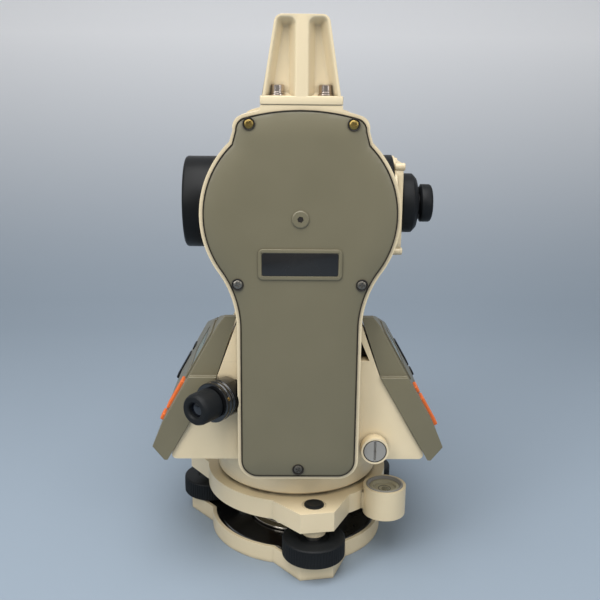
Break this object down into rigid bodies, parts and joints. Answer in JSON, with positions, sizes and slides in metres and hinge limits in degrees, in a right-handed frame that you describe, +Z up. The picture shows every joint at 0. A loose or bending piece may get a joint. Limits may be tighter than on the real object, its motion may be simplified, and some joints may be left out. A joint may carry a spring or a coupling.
{
  "type": "surveying total station",
  "caption": "Surveying instrument on a levelling tribrach: telescope between two standards, sloping keypads with displays on both faces, carrying handle, optical plummet and slow-motion knobs.",
  "frame": {"origin": "on the vertical axis at the underside of the tribrach's base plate, at the mouth of the tripod thread", "axes": "+Z up along the vertical axis; -X along the telescope towards its objective; -Y out of the standard that holds the vertical circle"},
  "size_m": [0.182, 0.1913, 0.3406],
  "materials": {
    "cream_paint": "cream stove enamel on cast aluminium",
    "olive_plastic": "fine satin grain, olive grey",
    "black_lining": "glossy black",
    "black_knob": "satin black, knurled",
    "black_metal": "black anodised",
    "steel": "turned steel",
    "chrome": "bright plated",
    "brass": "turned brass",
    "bronze": "bearing bronze",
    "zinc": "zinc plated",
    "grey_cap": "grey metallic",
    "optics": "coated optical glass",
    "vial": "clear vial with pale fluid",
    "circle_glass": "graduated glass",
    "display": "dark display window",
    "orange_key": "orange moulded key"
  },
  "bodies": {
    "base": {"base_plate": "cream_paint", "base_lining": "black_lining", "centre_thread_bush": "chrome"},
    "levelling_head": {"upper_plate": "cream_paint", "screw_sleeves": "cream_paint", "screw_caps": "black_knob", "vial_ring": "black_metal", "vial_glass": "vial", "axis_bush": "bronze", "horizontal_circle": "circle_glass"},
    "alidade": {"base_flange": "cream_paint", "vertical_axis": "steel", "lower_housing": "cream_paint", "battery_contact_cap": "grey_cap", "plummet_barrel": "black_metal", "circle_side_standard": "cream_paint", "far_side_standard": "cream_paint", "circle_cover": "olive_plastic", "far_cover": "olive_plastic", "circle_cover_screws": "zinc", "circle_plug": "olive_plastic", "blank_name_plate": "black_metal", "carrying_handle": "cream_paint", "handle_screws": "steel", "panel_case_right": "olive_plastic", "panel_case_left": "olive_plastic", "display_window_right": "display", "display_window_left": "display", "trunnion_bearings": "bronze"},
    "telescope": {"telescope_body": "cream_paint", "objective_barrel": "black_metal", "objective_lens": "optics", "rear_flange": "cream_paint", "eyepiece_tube": "black_metal", "eyepiece_lens": "optics", "finder_sight": "black_metal", "trunnion_shafts": "steel", "vertical_circle": "circle_glass"},
    "focus_ring": {"focus_ring": "black_knob"},
    "eyepiece_ring": {"eyepiece_ring": "black_knob"},
    "plummet_eyepiece": {"plummet_eyepiece": "black_knob"},
    "battery": {"battery_pack": "olive_plastic"},
    "vertical_tangent": {"vertical_tangent_knob": "black_knob"},
    "vertical_clamp": {"vertical_clamp_knob": "black_knob"},
    "horizontal_tangent": {"horizontal_tangent_knob": "black_knob"},
    "horizontal_clamp": {"horizontal_clamp_knob": "black_knob"},
    "foot_screw_front": {"levelling_knob_front": "black_knob", "levelling_screw_front": "steel"},
    "foot_screw_right": {"levelling_knob_right": "black_knob", "levelling_screw_right": "steel"},
    "foot_screw_left": {"levelling_knob_left": "black_knob", "levelling_screw_left": "steel"},
    "key_right_upper_left": {"key_right_upper_left": "orange_key"},
    "key_right_upper_right": {"key_right_upper_right": "black_knob"},
    "key_right_lower_left": {"key_right_lower_left": "orange_key"},
    "key_right_lower_right": {"key_right_lower_right": "black_knob"},
    "key_left_upper_left": {"key_left_upper_left": "black_knob"},
    "key_left_upper_right": {"key_left_upper_right": "orange_key"},
    "key_left_lower_left": {"key_left_lower_left": "black_knob"},
    "key_left_lower_right": {"key_left_lower_right": "orange_key"}
  },
  "joints": [
    {"name": "foot_screw_front_turn", "type": "hinge", "parent": "base", "child": "foot_screw_front", "pos_m": [0.0105, -0.06556, 0.018], "axis": [0, 0, 1], "range_deg": [-720, 720]},
    {"name": "foot_screw_right_turn", "type": "hinge", "parent": "base", "child": "foot_screw_right", "pos_m": [0.05153, 0.04188, 0.018], "axis": [0, 0, 1], "range_deg": [-720, 720]},
    {"name": "foot_screw_left_turn", "type": "hinge", "parent": "base", "child": "foot_screw_left", "pos_m": [-0.06203, 0.02369, 0.018], "axis": [0, 0, 1], "range_deg": [-720, 720]},
    {"name": "head_lift", "type": "slide", "parent": "base", "child": "levelling_head", "axis": [0, 0, 1], "range_m": [-0.002, 0.002]},
    {"name": "alidade_turn", "type": "hinge", "parent": "levelling_head", "child": "alidade", "pos_m": [0, 0, 0.05], "axis": [0, 0, 1], "continuous": true},
    {"name": "telescope_transit", "type": "hinge", "parent": "alidade", "child": "telescope", "pos_m": [0, 0, 0.2296], "axis": [0, 1, 0], "continuous": true},
    {"name": "focus_turn", "type": "hinge", "parent": "telescope", "child": "focus_ring", "pos_m": [0.073, 0, 0.2296], "axis": [1, 0, 0], "range_deg": [-170, 170]},
    {"name": "eyepiece_turn", "type": "hinge", "parent": "telescope", "child": "eyepiece_ring", "pos_m": [0.083, 0, 0.2296], "axis": [1, 0, 0], "range_deg": [-180, 180]},
    {"name": "plummet_focus_turn", "type": "hinge", "parent": "alidade", "child": "plummet_eyepiece", "pos_m": [-0.05667, -0.08093, 0.118], "axis": [-0.5736, -0.8192, 0], "range_deg": [-150, 150]},
    {"name": "battery_slide", "type": "slide", "parent": "alidade", "child": "battery", "axis": [0, 1, 0], "range_m": [0, 0.03]},
    {"name": "vertical_tangent_turn", "type": "hinge", "parent": "alidade", "child": "vertical_tangent", "pos_m": [0.024, 0.09, 0.196], "axis": [0, 1, 0], "range_deg": [-1080, 1080]},
    {"name": "vertical_clamp_turn", "type": "hinge", "parent": "alidade", "child": "vertical_clamp", "pos_m": [-0.024, 0.09, 0.196], "axis": [0, 1, 0], "range_deg": [0, 60]},
    {"name": "horizontal_tangent_turn", "type": "hinge", "parent": "alidade", "child": "horizontal_tangent", "pos_m": [0.049, 0.074, 0.097], "axis": [0, 1, 0], "range_deg": [-1080, 1080]},
    {"name": "horizontal_clamp_turn", "type": "hinge", "parent": "alidade", "child": "horizontal_clamp", "pos_m": [-0.049, 0.074, 0.097], "axis": [0, 1, 0], "range_deg": [-60, 0]},
    {"name": "key_right_upper_left_press", "type": "slide", "parent": "alidade", "child": "key_right_upper_left", "axis": [-0.8721, 0, -0.4894], "range_m": [0, 0.0008], "stiffness_N_per_m": 400},
    {"name": "key_right_upper_right_press", "type": "slide", "parent": "alidade", "child": "key_right_upper_right", "axis": [-0.8721, 0, -0.4894], "range_m": [0, 0.0008], "stiffness_N_per_m": 400},
    {"name": "key_right_lower_left_press", "type": "slide", "parent": "alidade", "child": "key_right_lower_left", "axis": [-0.8721, 0, -0.4894], "range_m": [0, 0.0008], "stiffness_N_per_m": 400},
    {"name": "key_right_lower_right_press", "type": "slide", "parent": "alidade", "child": "key_right_lower_right", "axis": [-0.8721, 0, -0.4894], "range_m": [0, 0.0008], "stiffness_N_per_m": 400},
    {"name": "key_left_upper_left_press", "type": "slide", "parent": "alidade", "child": "key_left_upper_left", "axis": [0.8721, 0, -0.4894], "range_m": [0, 0.0008], "stiffness_N_per_m": 400},
    {"name": "key_left_upper_right_press", "type": "slide", "parent": "alidade", "child": "key_left_upper_right", "axis": [0.8721, 0, -0.4894], "range_m": [0, 0.0008], "stiffness_N_per_m": 400},
    {"name": "key_left_lower_left_press", "type": "slide", "parent": "alidade", "child": "key_left_lower_left", "axis": [0.8721, 0, -0.4894], "range_m": [0, 0.0008], "stiffness_N_per_m": 400},
    {"name": "key_left_lower_right_press", "type": "slide", "parent": "alidade", "child": "key_left_lower_right", "axis": [0.8721, 0, -0.4894], "range_m": [0, 0.0008], "stiffness_N_per_m": 400}
  ],
  "couplings": [
    {"joint": "foot_screw_front_turn", "follows": "head_lift", "rad_per_m": -6283.2},
    {"joint": "foot_screw_right_turn", "follows": "head_lift", "rad_per_m": -6283.2},
    {"joint": "foot_screw_left_turn", "follows": "head_lift", "rad_per_m": -6283.2}
  ]
}
